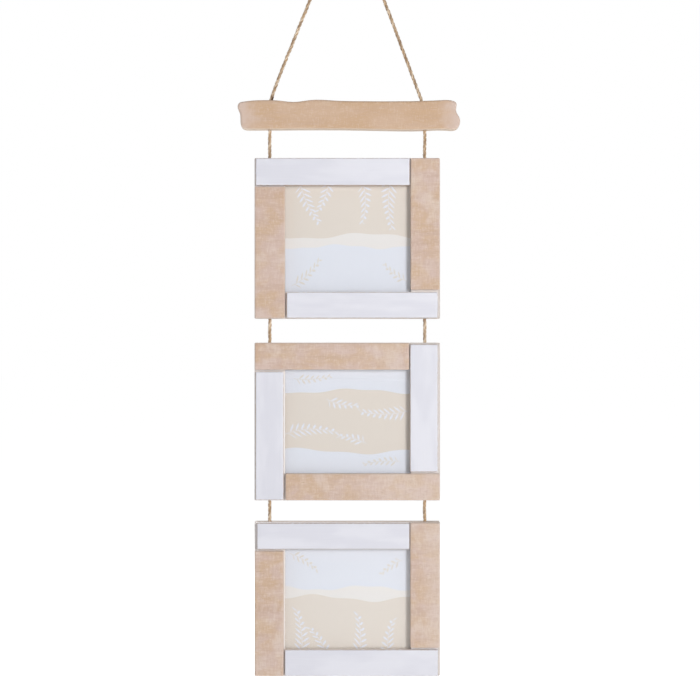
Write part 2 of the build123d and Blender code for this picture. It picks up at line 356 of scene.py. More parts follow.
def back_wood(name, number):
    """A mitred back frame with a pale wash in front and on its outer sides, and bare wood elsewhere.

    The wash is rubbed off at the outer edge, and the lip's upward face at the foot of the window carries
    painted light.
    """
    f = Finish(name)
    low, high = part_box(f"frame_{number}_back_frame")
    centre, half = (low + high) / 2, (high - low) / 2
    seed = 0.4 * number
    x, y, z = f.split(f.place((-centre.x, 0, -centre.z)))
    side_x, side_z = f.math("ABSOLUTE", x), f.math("ABSOLUTE", z)
    mitre = f.add(f.minus(side_z, side_x), half.x - half.z)
    level = f.step(mitre, -0.05 * mm, 0.05 * mm)
    lying = f.cloud((14, 420, 420), 4.0, 0.6, 0.3, (seed, 0, 0))
    upright = f.cloud((420, 420, 14), 4.0, 0.6, 0.3, (0, 0, seed))
    grain = f.add(f.times(lying, level), f.times(upright, f.minus(1.0, level)))
    fine = f.cloud((900, 900, 900), offset=(0, seed, 0))
    bare = f.mix(f.step(grain, 0.38, 0.66), BACK_BARE, BACK_BARE_DARK)
    wash = f.mix(f.step(grain, 0.36, 0.64), BACK_WASH, BACK_WASH_SHADE)
    # Painted shade: the wash greys towards the frame's right, the side the key lamp lights.
    wash = f.mix(f.step(x, 0.0, half.x, 0.0, 0.6), wash, BACK_WASH_PAINTED_SHADE)
    inward = f.math("MINIMUM", f.minus(half.x, side_x), f.minus(half.z, side_z))
    inside = f.step(inward, 0.8 * mm, 1.2 * mm)
    _, facing, rising = f.split(f.normal())
    front, behind = f.step(facing, -0.8, -0.6, 1.0, 0.0), f.step(facing, 0.5, 0.8)
    base = f.mix(f.math("MAXIMUM", behind, f.minus(inside, front)), wash, bare)
    # Painted light on the lip's upward faces at the foot of the window.
    foot = f.times(f.step(rising, 0.8, 0.95), f.math("LESS_THAN", y, lip_back))
    base = f.mix(f.times(foot, inside), base, PAINTED_LIGHT_WALL)
    base = f.mix(f.step(fine, 0.45, 0.75, 0.0, 0.3), base, BACK_SPECK)
    base = f.mix(f.step(f.math("ABSOLUTE", mitre), 0.08 * mm, 0.22 * mm, 0.75, 0.0), base, BACK_SEAM)
    ragged = f.add(inward, f.times(fine, 1.0 * mm))
    base = f.mix(f.step(ragged, 0.5 * mm, 1.1 * mm, 0.25, 0.0), base, bare)
    painted = f.times(front, f.step(ragged, 1.9 * mm, 2.8 * mm))
    base = f.mix(painted, base, BACK_PAINT)
    return f.dress(Base_Color=base, Roughness=0.72, Normal=f.bump(f.add(grain, fine), 0.1 * mm, 0.5))


def jute(name):
    """Twisted jute: pale and dark fibres run along each ply."""
    f = Finish(name)
    around, along, _ = f.split(f.node("ShaderNodeUVMap", uv_map="thread").outputs["UV"])

    def streaks(turns, stretch, shift):
        inputs = {0: f.times(around, turns), 1: f.times(along, stretch), 2: shift}
        return f.noise(f.node("ShaderNodeCombineXYZ", inputs).outputs[0], 3.0, 0.6)

    dark, pale = streaks(7.0, 1.6, 0.0), streaks(11.0, 2.2, 4.0)
    base = f.mix(f.step(f.cloud((160, 160, 90), 2.0), 0.35, 0.65), JUTE, JUTE_TAN)
    tone = f.attribute("tone")
    base = f.mix(f.step(tone, 0.5, 1.0, 0.0, 0.8), base, JUTE_PALE)
    base = f.mix(f.step(tone, 0.0, 0.5, 0.8, 0.0), base, JUTE_DARK)
    base = f.mix(f.step(dark, 0.50, 0.68, 0.0, 0.7), base, JUTE_DARK)
    base = f.mix(f.step(pale, 0.52, 0.66, 0.0, 0.7), base, JUTE_PALE)
    f.dress(Sheen_Weight=0.25, Sheen_Roughness=0.5)
    return f.dress(Base_Color=base, Roughness=0.88, Normal=f.bump(f.minus(pale, dark), 0.25 * mm, 0.9))


mesh_pitch = 1.7 * mm


def hardboard(name):
    """The rough side of hardboard, with the print of the press's wire mesh."""
    f = Finish(name)
    x, _, z = f.split(f.place())
    waves = [f.math("SINE", f.times(value, 2 * math.pi / mesh_pitch)) for value in (x, z)]
    mesh = f.times(*waves)
    fibres = f.cloud((520, 520, 520), 4.0, 0.65)
    broad = f.cloud((40, 40, 40), 2.0)
    base = f.mix(f.step(fibres, 0.35, 0.68), HARDBOARD_DARK, HARDBOARD)
    base = f.mix(f.step(broad, 0.40, 0.65, 0.0, 0.35), base, HARDBOARD_PALE)
    base = f.mix(f.step(mesh, 0.2, 1.0, 0.0, 0.25), base, HARDBOARD_DARK)
    height = f.add(f.times(mesh, -0.5), fibres)
    return f.dress(Base_Color=base, Roughness=0.68, Normal=f.bump(height, 0.15 * mm, 0.8))


def zinc(name):
    """Pressed steel with a zinc coat that is a little scuffed."""
    f = Finish(name)
    cloudy = f.cloud((260, 260, 260))
    scuffs = f.cloud((300, 2600, 3400), 2.0)
    base = f.mix(f.step(cloudy, 0.35, 0.65), ZINC, ZINC_DULL)
    rough = f.add(f.step(cloudy, 0.3, 0.7, 0.26, 0.40), f.step(scuffs, 0.55, 0.75, 0.0, 0.15))
    f.dress(Metallic=1.0)
    return f.dress(Base_Color=base, Roughness=rough, Normal=f.bump(scuffs, 0.02 * mm, 0.5))


def clear_glass(name):
    """Glass that lamps shine through, so that the print behind it is lit."""
    f = Finish(name)
    f.dress(Base_Color=GLASS, Roughness=0.0, IOR=1.46, Transmission_Weight=1.0)
    path = f.node("ShaderNodeLightPath").outputs
    clear = f.node("ShaderNodeBsdfTransparent")
    passed = f.math("MAXIMUM", path["Is Shadow Ray"], path["Is Diffuse Ray"])
    both = f.node("ShaderNodeMixShader", {0: passed, 1: f.shader.outputs[0], 2: clear.outputs[0]})
    f.put(f.output.inputs["Surface"], both.outputs[0])
    return f.material


# Artwork of the prints, in millimetres about the middle of each: soft hills of beige and white,
# with leafy sprigs. A hill has the height, swing, rate and phase of its edge, and is beige above it
# where the last number is 1 and below it where that is -1. A sprig has its foot, heading in degrees,
# length, leaf length and bend.
art_softness = 0.10
ripple_rate = 2.7  # of the small waves on a hill's edge, over the rate of the large ones
ripple_share = 0.35
sprig_period = 5.2
leaf_width = 1.05
leaf_lean = 0.75
leaf_taper = 0.45  # a leaf's length at a sprig's tip, over that at its foot
stem_width = 0.42
PRINTS = {
    1: {
        "hills": ((2.5, 2.6, 0.055, 0.6, 1), (-7.5, 1.8, 0.080, 2.2, 1)),
        "sprigs": (
            (-44, 52, -78, 40, 7.5, 0.006), (-17, 54, -97, 30, 6.5, -0.008),
            (14, 53, -70, 36, 7.0, -0.010), (41, 55, -104, 44, 8.0, 0.006),
        ),
        "dark_sprigs": ((-52, -44, 24, 34, 6.0, 0.010), (56, -40, 158, 26, 5.0, -0.010)),
    },
    2: {
        "hills": ((28.3, 2.0, 0.060, 1.2, -1), (-27.8, 2.4, 0.050, 4.0, 1)),
        "sprigs": (
            (-58, -12, 22, 46, 7.5, -0.008), (58, 10, 196, 44, 7.5, -0.006),
            (-20, 21, -28, 30, 6.0, 0.010), (18, -21, 150, 26, 6.0, 0.010),
        ),
        "dark_sprigs": ((-50, 40, -8, 34, 5.0, 0.006), (50, -38, 172, 34, 5.0, 0.006)),
    },
    3: {
        "hills": ((0.2, 2.8, 0.058, 3.4, -1), (9.7, 2.0, 0.075, 0.4, -1)),
        "sprigs": (
            (-43, -54, 82, 42, 8.0, 0.006), (-18, -56, 104, 32, 6.5, 0.010),
            (10, -54, 74, 38, 7.5, 0.008), (38, -55, 97, 34, 7.0, -0.008),
        ),
        "dark_sprigs": ((-54, 42, -18, 30, 5.0, -0.008), (52, 36, 200, 24, 5.0, 0.010)),
    },
}


def sprig(f, x, z, foot_x, foot_z, heading, length, leaf, bend):
    """How far a point lies inside a stem with leaves on both sides, 0 to 1."""
    turn = math.radians(heading)
    cosine, sine = math.cos(turn), math.sin(turn)
    dx, dz = f.minus(x, foot_x), f.minus(z, foot_z)
    along = f.add(f.times(dx, cosine), f.times(dz, sine))
    across = f.add(f.times(dx, -sine), f.times(dz, cosine))
    across = f.minus(across, f.times(f.times(along, along), bend))
    off = f.math("ABSOLUTE", across)
    stem = f.step(off, stem_width / 2 - art_softness, stem_width / 2 + art_softness, 1.0, 0.0)
    stem = f.times(stem, f.step(along, length, length + 2 * art_softness, 1.0, 0.0))
    stem = f.times(stem, f.step(along, -2 * art_softness, 0.0))
    root = f.minus(along, f.times(off, leaf_lean))
    reach = f.math("DIVIDE", off, f.times(f.step(root, 0.0, length, 1.0, leaf_taper), leaf))
    side = f.times(f.math("GREATER_THAN", across, 0.0), 0.5)
    phase = f.add(f.math("DIVIDE", root, sprig_period), side)
    middle = f.times(f.minus(f.math("FRACT", phase), 0.5), sprig_period)
    swell = f.times(f.times(reach, f.minus(1.0, reach)), 4 * leaf_width)
    blade = f.minus(swell, f.math("ABSOLUTE", middle))
    leaves = f.step(blade, -art_softness, art_softness)
    leaves = f.times(leaves, f.math("LESS_THAN", reach, 1.0))
    leaves = f.times(leaves, f.math("GREATER_THAN", root, sprig_period / 2))
    leaves = f.times(leaves, f.math("LESS_THAN", root, length))
    return f.math("MAXIMUM", stem, leaves)


def print_paper(name, number):
    """A print of generic hills and sprigs on satin paper."""
    f = Finish(name)
    low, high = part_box(f"frame_{number}_print")
    centre = (low + high) / 2
    x, _, z = f.split(f.place((-centre.x, 0, -centre.z), (1 / mm, 1 / mm, 1 / mm)))
    art = PRINTS[number]
    tones = []
    for height, swing, rate, phase, side in art["hills"]:
        slope = f.math("SINE", f.math("MULTIPLY_ADD", x, rate, phase))
        ripple = f.math("SINE", f.math("MULTIPLY_ADD", x, ripple_rate * rate, 2 * phase))
        edge = f.add(f.times(slope, swing), f.times(ripple, ripple_share * swing))
        over = f.times(f.minus(f.minus(z, height), edge), side)
        tones.append(f.step(over, -art_softness, art_softness))
    if number == 2:
        base = f.mix(f.times(*tones), PRINT_WHITE, PRINT_BEIGE)
    else:
        base = f.mix(tones[1], PRINT_WHITE, PRINT_PALE_BEIGE)
        base = f.mix(tones[0], base, PRINT_BEIGE)
    for sprigs, line in ((art["sprigs"], PRINT_LINE), (art["dark_sprigs"], PRINT_DARK_LINE)):
        for place in sprigs:
            base = f.mix(sprig(f, x, z, *place), base, line)
    tooth = f.cloud((1800, 1800, 1800), 2.0)
    return f.dress(Base_Color=base, Roughness=f.step(tooth, 0.3, 0.7, 0.50, 0.62))


def new_object(name, data):
    """An object of the scene that shows the data."""
    made = bpy.data.objects.new(name, data)
    bpy.context.scene.collection.objects.link(made)
    return made


def new_piece(name, vertices, faces, material, smooth=True):
    """A mesh object in the shared frame with its material."""
    mesh = bpy.data.meshes.new(name)
    mesh.from_pydata([tuple(v) for v in vertices], [], faces)
    mesh.materials.append(material)
    mesh.polygons.foreach_set("use_smooth", [smooth] * len(mesh.polygons))
    mesh.update()
    return new_object(name, mesh)


def set_floats(mesh, name, values):
    """A number on each vertex, for the materials to read."""
    attribute = mesh.attributes.new(name, "FLOAT", "POINT")
    attribute.data.foreach_set("value", np.asarray(values, np.float32))


# Slats: rounded boards whose arrises were sanded by hand.
arris_radius = 0.9 * mm
arris_wear = 0.30 * mm
edge_wander = 0.14 * mm
face_relief = 0.05 * mm
board_step = 2.4 * mm
edge_band = 3.0 * mm
window_edge = 0.2 * mm  # a board's points that are nearer than this to the window are on its wall
# Places of the points behind an edge, behind the front and before the back, over the arris radius.
edge_shares = (0.0, 0.3, 0.65, 1.0)
front_shares = (0.0, 0.35, 0.7, 1.0)
back_share = 0.2


def stations(low, high):
    """Places along one side of a board, close together near both of its edges."""
    near = [share * arris_radius for share in edge_shares] + [(arris_radius + edge_band) / 2, edge_band]
    inner = max(1, round((high - low - 2 * edge_band) / board_step))
    middle = np.linspace(low + edge_band, high - edge_band, inner + 1)[1:-1]
    return [low + d for d in near] + list(middle) + [high - d for d in reversed(near)]


def shell(xs, ys, zs):
    """The outside of a block as points, at the places given, and faces of four."""
    index, points, faces = {}, [], []

    def face(*corners):
        for i, j, k in corners:
            if (i, j, k) not in index:
                index[i, j, k] = len(points)
                points.append((xs[i], ys[j], zs[k]))
        faces.append([index[corner] for corner in corners])

    nx, ny, nz = len(xs) - 1, len(ys) - 1, len(zs) - 1
    for i in range(nx):
        for k in range(nz):
            face((i, 0, k), (i + 1, 0, k), (i + 1, 0, k + 1), (i, 0, k + 1))
            face((i, ny, k), (i, ny, k + 1), (i + 1, ny, k + 1), (i + 1, ny, k))
    for i in range(nx):
        for j in range(ny):
            face((i, j, 0), (i, j + 1, 0), (i + 1, j + 1, 0), (i + 1, j, 0))
            face((i, j, nz), (i + 1, j, nz), (i + 1, j + 1, nz), (i, j + 1, nz))
    for j in range(ny):
        for k in range(nz):
            face((0, j, k), (0, j, k + 1), (0, j + 1, k + 1), (0, j + 1, k))
            face((nx, j, k), (nx, j + 1, k), (nx, j + 1, k + 1), (nx, j, k + 1))
    return np.array(points), faces


def sanded(grid, lows, highs, seed):
    """A block's points, with unevenly worn round arrises but at its back, and faces not quite flat."""
    inner = np.clip(grid, lows + arris_radius, highs + arris_radius * np.array((-1, 1, -1)))
    away = grid - inner
    length = np.linalg.norm(away, axis=1)
    outward = away / np.maximum(length, 1e-9)[:, None]
    rounded = inner + outward * np.minimum(length, arris_radius)[:, None]
    arris = np.clip((length / arris_radius - 1) / (math.sqrt(2) - 1), 0, 1.2)
    front = (grid[:, 1] < lows[1] + 1e-9) & (arris < 1e-6)
    side = np.abs(outward[:, [0, 2]]).max(axis=1) > 0.3
    wear = np.array([noise.noise(Vector(p) * 160 + Vector((seed, 0, 0))) for p in grid])
    wander = np.array([noise.noise(Vector(p) * 28 + Vector((0, seed, 0))) for p in grid])
    relief = np.array([noise.noise(Vector((p[0] * 60, 0, p[2] * 420)) + Vector((0, 0, seed))) for p in grid])
    sunk = arris * arris_wear * (0.5 + 0.5 * wear)
    sunk = sunk + front * face_relief * (0.5 + 0.5 * relief)
    sunk = sunk + side * edge_wander * (0.5 + 0.5 * wander)
    return rounded - outward * sunk[:, None]


def board(name, low, high, seed, material, window, wall_light_share):
    """A sanded board that fills the box from low to high.

    Its wall at the window, a box, takes the painted shade and light of such walls to the share given.
    """
    ys = [low.y + share * arris_radius for share in front_shares]
    ys += [high.y - back_share * arris_radius, high.y]
    grid, faces = shell(stations(low.x, high.x), ys, stations(low.z, high.z))
    lows, highs = np.array(low), np.array(high)
    piece = new_piece(name, sanded(grid, lows, highs, seed), faces, material)
    x, depth, z = grid[:, 0], grid[:, 1] - lows[1], grid[:, 2]
    to_edge = np.minimum.reduce([x - lows[0], highs[0] - x, z - lows[2], highs[2] - z])
    edge = np.minimum(to_edge + np.maximum(depth - arris_radius, 0), edge_band)
    set_floats(piece.data, "edge_mm", edge / mm)
    left, foot, right, head = window
    inside = (x > left) & (x < right) & (z > foot) & (z < head)
    set_floats(piece.data, "wall_painted_light", inside * wall_light_share * np.clip(depth / arris_radius - 0.4, 0, 1))
    return piece


# How far a board's left, lower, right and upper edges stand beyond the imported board, in millimetres:
# boards cut by hand leave joints of uneven width.
CUT_BY_HAND = {
    (1, "top"): (0.0, 0.6, 0.6, 0.0),
    (1, "right"): (0.3, 0.0, 0.0, 0.0),
    (1, "left"): (0.0, 0.0, 1.2, 0.0),
    (1, "bottom"): (-1.1, 0.0, 0.0, -0.5),
    (2, "right"): (0.8, 0.0, 0.0, 0.0),
    (3, "top"): (0.0, 0.0, 0.5, 0.0),
    (3, "right"): (0.6, 0.0, 0.0, 0.0),
    (3, "bottom"): (0.7, 0.0, 0.0, 0.0),
}
# Walls at the window carry painted shade at the top and right, where the key lamp's shade falls, and painted
# light at the foot of the white frames; the lit left walls and the foot of the middle one keep only this
# share of it.
faint_wall_light_share = 0.2  # of the wall's colour, at the left of each window and at the foot of the middle one


def make_slats():
    """Four boards for each frame, laid like a pinwheel, limed or painted white."""
    for number in FRAMES:
        boxes = {side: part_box(f"frame_{number}_{side}_slat") for side in SIDES}
        window = (boxes["left"][1].x - window_edge, boxes["bottom"][1].z - window_edge,
                  boxes["right"][0].x + window_edge, boxes["top"][0].z + window_edge)
        for turn, side in enumerate(SIDES):
            node = f"frame_{number}_{side}_slat"
            seed = 4 * number + turn
            low, high = boxes[side]
            if side in NATURAL_SLATS[number]:
                pale_share = WASH_SHARES.get((number, side), 0.0)
                material = limed_wood(f"limed_wood_{number}_{side}", seed, pale_share, low.x, high.x)
            else:
                along = 0 if side in ("top", "bottom") else 2
                # Painted light on the upward walls at the foot of the white windows, painted shade in bare
                # wood on the others.
                wall = PAINTED_LIGHT_WALL if side == "bottom" else BARE_WOOD
                material = white_paint(f"white_paint_{number}_{side}", seed, along, wall)
            left, foot, right, head = (value * mm for value in CUT_BY_HAND.get((number, side), (0, 0, 0, 0)))
            low, high = low - Vector((left, 0, foot)), high + Vector((right, 0, head))
            faint = side == "left" or (number, side) == (2, "bottom")
            wall_light_share = faint_wall_light_share if faint else 1.0
            piece = board(f"frame_{number}_{side}_board", low, high, seed, material, window, wall_light_share)
            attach(piece, f"frame_{number}")
            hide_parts(node)


# Crossbar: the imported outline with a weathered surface.
bar_voxel = 0.9 * mm
bar_relief = 0.22 * mm
bar_grain_stretch = (22, 260, 260)
bar_dent_stretch = 70


def make_crossbar():
    """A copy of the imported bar, remeshed finely and carved by its grain."""
    piece = new_object("crossbar_wood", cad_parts["crossbar"].data.copy())
    remesh = piece.modifiers.new("fine", "REMESH")
    remesh.mode = "VOXEL"
    remesh.voxel_size = bar_voxel
    bpy.context.view_layer.update()
    seen = piece.evaluated_get(bpy.context.evaluated_depsgraph_get())
    mesh = bpy.data.meshes.new_from_object(seen)
    piece.modifiers.clear()
    piece.data = mesh
    for vertex in mesh.vertices:
        place, outward = vertex.co.copy(), vertex.normal.copy()
        stretched = Vector([value * stretch for value, stretch in zip(place, bar_grain_stretch)])
        grain = noise.fractal(stretched, 1.0, 2.0, 3)
        dents = noise.noise(place * bar_dent_stretch)
        share = 0.5 + 0.35 * grain + 0.35 * dents
        vertex.co = place - outward * bar_relief * min(max(share, 0.0), 1.2)
    mesh.materials.clear()
    mesh.materials.append(bar_wood("bar_wood"))
    mesh.polygons.foreach_set("use_smooth", [True] * len(mesh.polygons))
    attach(piece, "crossbar")
    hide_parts("crossbar")


def unit(vector):
    """The vector's direction."""
    return vector / np.linalg.norm(vector)


def lengths_along(points):
    """How far each point of a line is from its start, along the line."""
    return np.concatenate([[0], np.cumsum(np.linalg.norm(np.diff(points, axis=0), axis=1))])


def noise_along(gone, period, *place):
    """Smooth noise at lengths along a line, at a place of its own."""
    return np.array([noise.noise(Vector((length / period, *place))) for length in gone])


def frames_along(points):
    """Two directions square to a line at each of its points, turning with it as little as they can."""
    tangents = np.gradient(points, axis=0)
    tangents /= np.linalg.norm(tangents, axis=1)[:, None]
    across = np.cross(tangents[0], (0.0, 1.0, 0.0))
    if np.linalg.norm(across) < 0.1:
        across = np.cross(tangents[0], (1.0, 0.0, 0.0))
    frames = []
    for tangent in tangents:
        across = unit(across - tangent * np.dot(across, tangent))
        frames.append((across, np.cross(tangent, across)))
    return frames


def line_of(route, step):
    """Evenly spaced points of the smooth line that a route's points control, in metres."""
    curve = bpy.data.curves.new("route", "CURVE")
    curve.dimensions = "3D"
    spline = curve.splines.new("NURBS")
    spline.points.add(len(route) - 1)
    for point, place in zip(spline.points, route):
        point.co = (*place, 1.0)
    spline.order_u = 3
    spline.use_endpoint_u = True
    curve.resolution_u = 24
    holder = new_object("route", curve)
    bpy.context.view_layer.update()
    mesh = bpy.data.meshes.new_from_object(holder.evaluated_get(bpy.context.evaluated_depsgraph_get()))
    line = np.array([tuple(v.co) for v in mesh.vertices])
    bpy.data.objects.remove(holder)
    bpy.data.curves.remove(curve)
    bpy.data.meshes.remove(mesh)
    gone = lengths_along(line)
    places = np.linspace(0, gone[-1], max(3, round(gone[-1] / step) + 1))
    return np.column_stack([np.interp(places, gone, line[:, axis]) for axis in range(3)])


class Thread:
    """Collects the tubes of one piece of cord with their thread coordinates."""

    def __init__(self):
        self.vertices, self.faces, self.threads, self.tones = [], [], [], []

    def tube(self, points, radii, sides, strand, tones=None):
        """Adds a closed tube. Its strand sets its streaks apart, and tones go from 0, dark, to 1, pale."""
        points = np.asarray(points, float)
        angles = 2 * math.pi * np.arange(sides)[:, None] / sides
        start, count = len(self.vertices), len(points)
        for point, radius, (across, upward) in zip(points, radii, frames_along(points)):
            ring = point + radius * (np.cos(angles) * across + np.sin(angles) * upward)
            self.vertices.extend(ring.tolist())
        self.tones.extend(np.repeat([0.5] * count if tones is None else tones, sides).tolist())
        gone = lengths_along(points) / thread_period + strand
        for ring in range(count - 1):
            for side in range(sides):
                a, b = start + ring * sides + side, start + ring * sides + (side + 1) % sides
                self.faces.append([a, b, b + sides, a + sides])
                u0, u1 = side / sides, (side + 1) / sides
                v0, v1 = gone[ring], gone[ring + 1]
                self.threads.append([(u0, v0), (u1, v0), (u1, v1), (u0, v1)])
        for ring, order in ((0, -1), (count - 1, 1)):
            self.faces.append([start + ring * sides + side for side in range(sides)][::order])
            self.threads.append([(0.5, strand)] * sides)

    def piece(self, name, material):
        """The tubes as one piece."""
        made = new_piece(name, self.vertices, self.faces, material)
        layer = made.data.uv_layers.new(name="thread")
        layer.data.foreach_set("uv", [share for face in self.threads for pair in face for share in pair])
        set_floats(made.data, "tone", self.tones)
        return made


PLY_TONES = (0.25, 0.5, 0.8)  # how pale each ply is, 0 to 1
fibre_radius = 0.05 * mm
fibre_length = (2.0 * mm, 3.8 * mm)
fibre_reach = 1.1 * mm
fibre_points = 6
end_clear = 2.7 * mm  # fibres start no nearer than this to an end
end_turned = 6.0 * mm  # fibres that start nearer than this to an end lie away from it


def loose_fibre(thread, foot, along, outward, rng, reach=fibre_reach):
    """One hair that leaves the cord and curves away along it."""
    length = rng.uniform(*fibre_length)
    curl = rng.uniform(-0.6, 0.6)
    sideways = np.cross(along, outward)
    shares = [step / (fibre_points - 1) for step in range(fibre_points)]
    points = []
    for share in shares:
        lift = reach * rng.uniform(0.7, 1.0) * share ** 1.4
        bend = sideways * curl * length * 0.3 * share ** 2
        points.append(foot + along * length * share + outward * lift + bend)
    thread.tube(points, [fibre_radius * (1 - 0.8 * share) for share in shares], 3, rng.random())


def twisted_cord(name, line, seed, material, fibres_per_mm=1.0, radius=cord_radius, wander=cord_wander):
    """Plies that wind round a line, with slubs, closed ends and loose fibres."""
    rng = random.Random(seed)
    noise.seed_set(seed)  # without it noise_vector would differ from run to run
    gone = lengths_along(line)
    frames = frames_along(line)
    ply_radius, offset = radius * ply_share, radius * ply_ring_share
    ends = np.minimum(gone, gone[-1] - gone) / radius
    closing = np.sqrt(np.clip(1 - (1 - np.minimum(ends, 1)) ** 2, 0.05, 1))
    start = rng.uniform(0, 2 * math.pi)
    held = np.clip(ends / 4, 0, 1) * wander
    drift = np.array([noise.noise_vector(Vector((length / wander_period, seed, 0))) for length in gone])
    middle = line + held[:, None] * drift
    thread = Thread()
    plies = []
    for ply in range(ply_count):
        angles = start + 2 * math.pi * (ply / ply_count + gone / ply_pitch)
        centres = np.array([
            point + offset * close * (math.cos(angle) * across + math.sin(angle) * upward)
            for point, angle, close, (across, upward) in zip(middle, angles, closing, frames)
        ])
        thickness = 1 + 0.20 * noise_along(gone, thickness_period, ply * 7.3, seed)
        slubs = noise_along(gone, slub_period, ply * 3.1, seed + 0.5)
        tones = np.clip(PLY_TONES[ply] + 0.8 * slubs, 0, 1)
        thread.tube(centres, ply_radius * thickness * closing, ply_sides, rng.random() * 9, tones)
        plies.append(centres)
    spots = [k for k, length in enumerate(gone) if end_clear < length < gone[-1] - end_clear]
    for _ in range(round(fibres_per_mm * gone[-1] / mm)):
        spot = rng.choice(spots)
        centre = plies[rng.randrange(ply_count)][spot]
        outward = unit(centre - line[spot])
        heading = rng.choice((-1, 1))
        if min(gone[spot], gone[-1] - gone[spot]) < end_turned:
            heading = 1 if gone[spot] < gone[-1] / 2 else -1
        along = unit(line[spot + 1] - line[spot]) * heading
        loose_fibre(thread, centre + outward * ply_radius * 0.8, along, outward, rng)
    return thread.piece(name, material)


# The mouths of the bar's left and right hole, and the hanging cord's route from one over the hook to
# the other, in millimetres. The left leg leans outwards against the rim of its hole.
HOLE_MOUTHS = ((-72.55, 0, -173.6), (67.85, 0, -173.6))
HANGING_ROUTE = (
    (-73.0, 0, -173.6), (-69.6, 0, -163.0), (-64.6, 0, -150.0), (-11.2, 0, -17.2), (-5.3, 0, -3.2),
    (-3.6, 0, 0.3), (0.0, 0, 1.8), (3.4, 0, 0.3), (4.8, 0, -3.3), (10.0, 0, -17.4), (68.2, 0, -173.6),
)
mouth_depth = 1.2 * mm  # how far a hinged end reaches into its hole
stub_start = 1.6 * mm  # how deep in its hole a fixed cord end starts
link_bow = 0.25 * mm
# An overhand knot: its middle and tail are this deep below the rail's edge.
knot_middle = 10.1 * mm
knot_tail = 17.6 * mm
knot_scale = 1.0 * mm
knot_setback = 2.35 * knot_scale
knot_half = 3.3 * knot_scale
knot_lean = 0.1 * knot_scale
knot_cord_radius = 1.15 * mm
knot_opening = 0.55
knot_points = 18
tail_fibres = 22


def longer(line, extra):
    """The line with both ends run on."""
    first = line[0] + unit(line[0] - line[1]) * extra
    last = line[-1] + unit(line[-1] - line[-2]) * extra
    return np.vstack([first, line, last])


def straight(start, end):
    """Evenly spaced points between two places."""
    count = max(8, round(np.linalg.norm(end - start) / ring_step))
    return np.linspace(start, end, count)


def link_ends(number, side):
    """The hinge points of a link cord, the upper one first."""
    low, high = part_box(f"link_cord_{number}_{side}")
    x = (low.x + high.x) / 2
    return np.array([x, 0, high.z - cord_radius]), np.array([x, 0, low.z + cord_radius])


def overhand_knot(edge, inward):
    """The line of a knotted cord end below a rail's edge; inward is -1 from the top and 1 from the bottom."""
    x, _, edge_z = edge
    route = [(0, 0, stub_start), (0, 0, 0.5 * knot_middle), (0, knot_lean, knot_middle - knot_half)]
    for t in np.linspace(3 * math.pi - knot_opening, math.pi + knot_opening, knot_points):
        deep = math.sin(t) + 2 * math.sin(2 * t)
        back = math.cos(t) - 2 * math.cos(2 * t)
        over = -1.2 * math.sin(3 * t)
        route.append((over * knot_scale, knot_setback + back * knot_scale, knot_middle + deep * knot_scale))
    route.append((0, knot_lean, knot_middle + knot_half))
    route.append((0.2 * mm, 0.4 * mm, knot_tail - 2 * mm))
    route.append((0.5 * mm, 0.8 * mm, knot_tail))
    return line_of([(x + dx, dy, edge_z + inward * deep) for dx, dy, deep in route], ring_step)


def frayed_tail(name, line, seed, material):
    """Loose fibres that fan out from a cut end."""
    rng = random.Random(seed)
    thread = Thread()
    along = unit(line[-1] - line[-4])
    for _ in range(tail_fibres):
        turn = rng.uniform(0, 2 * math.pi)
        outward = np.array([math.cos(turn), math.sin(turn), 0.0])
        foot = line[-2] + outward * cord_radius * rng.uniform(0.1, 0.6)
        loose_fibre(thread, foot, along, outward, rng, rng.uniform(0.3, 1.2) * mm)
    return thread.piece(name, material)


def make_hanging_cord(material):
    """The long cord over the hook, from one hole of the bar to the other."""
    route = [tuple(value * mm for value in place) for place in HANGING_ROUTE]
    line = longer(line_of(route, ring_step), mouth_depth)
    hanging = twisted_cord("hanging_jute", line, 3, material)
    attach(hanging, "hanging_cord")
    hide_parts("hanging_cord")


def make_link_cords(material):
    """The short cords above each frame, each bowed a little to one side."""
    for number in FRAMES:
        for order, side in enumerate(("left", "right")):
            top, bottom = link_ends(number, side)
            line = longer(straight(top, bottom), mouth_depth)
            seed = 10 + 2 * number + order
            gone = np.linspace(0, 1, len(line))
            line[:, 0] += link_bow * np.sin(math.pi * gone) * noise.noise(Vector((seed, 0.5, 0.5)))
            link = twisted_cord(f"link_jute_{number}_{side}", line, seed, material, 1.4)
            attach(link, f"link_cords_{number}")
            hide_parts(f"link_cord_{number}_{side}")


def make_stubs(material):
    """The cord that is fixed in the bar's two holes."""
    for order, (side, mouth) in enumerate(zip(("left", "right"), HOLE_MOUTHS)):
        bottom, _ = link_ends(1, side)
        top = np.array(mouth) * mm
        along = unit(top - bottom)
        line = straight(bottom + along * stub_start, top - along * stub_start)
        stub = twisted_cord(f"bar_jute_{side}", line, 30 + order, material, 0.0)
        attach(stub, "crossbar")
        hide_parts("crossbar_cord_stubs")


def make_knots(material):
    """The knotted ends in the upper rails, and in the lower rails of all frames but the last."""
    for number in FRAMES:
        rails = [("upper", number, 1, -1)]
        if number < len(FRAMES):
            rails.append(("lower", number + 1, 0, 1))
        for rail, cord_number, end, inward in rails:
            for order, side in enumerate(("left", "right")):
                seed = 40 + 10 * number + 4 * end + order
                line = overhand_knot(link_ends(cord_number, side)[end], inward)
                knot = twisted_cord(f"frame_{number}_{rail}_knot_{side}", line, seed, material, 1.0,
                                    knot_cord_radius, wander=0.0)
                fray = frayed_tail(f"frame_{number}_{rail}_fray_{side}", line, seed + 100, material)
                for piece in (knot, fray):
                    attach(piece, f"frame_{number}")
                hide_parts(f"frame_{number}_{rail}_knots")


# A tuft of dark fibres stands beside the cord at the bar's left hole.
tuft_place = (1.0 * mm, -0.6 * mm, -0.6 * mm)  # from the hole's mouth
tuft_spread = 0.7 * mm
tuft_fibres = 26
tuft_fibre_radius = 0.11 * mm


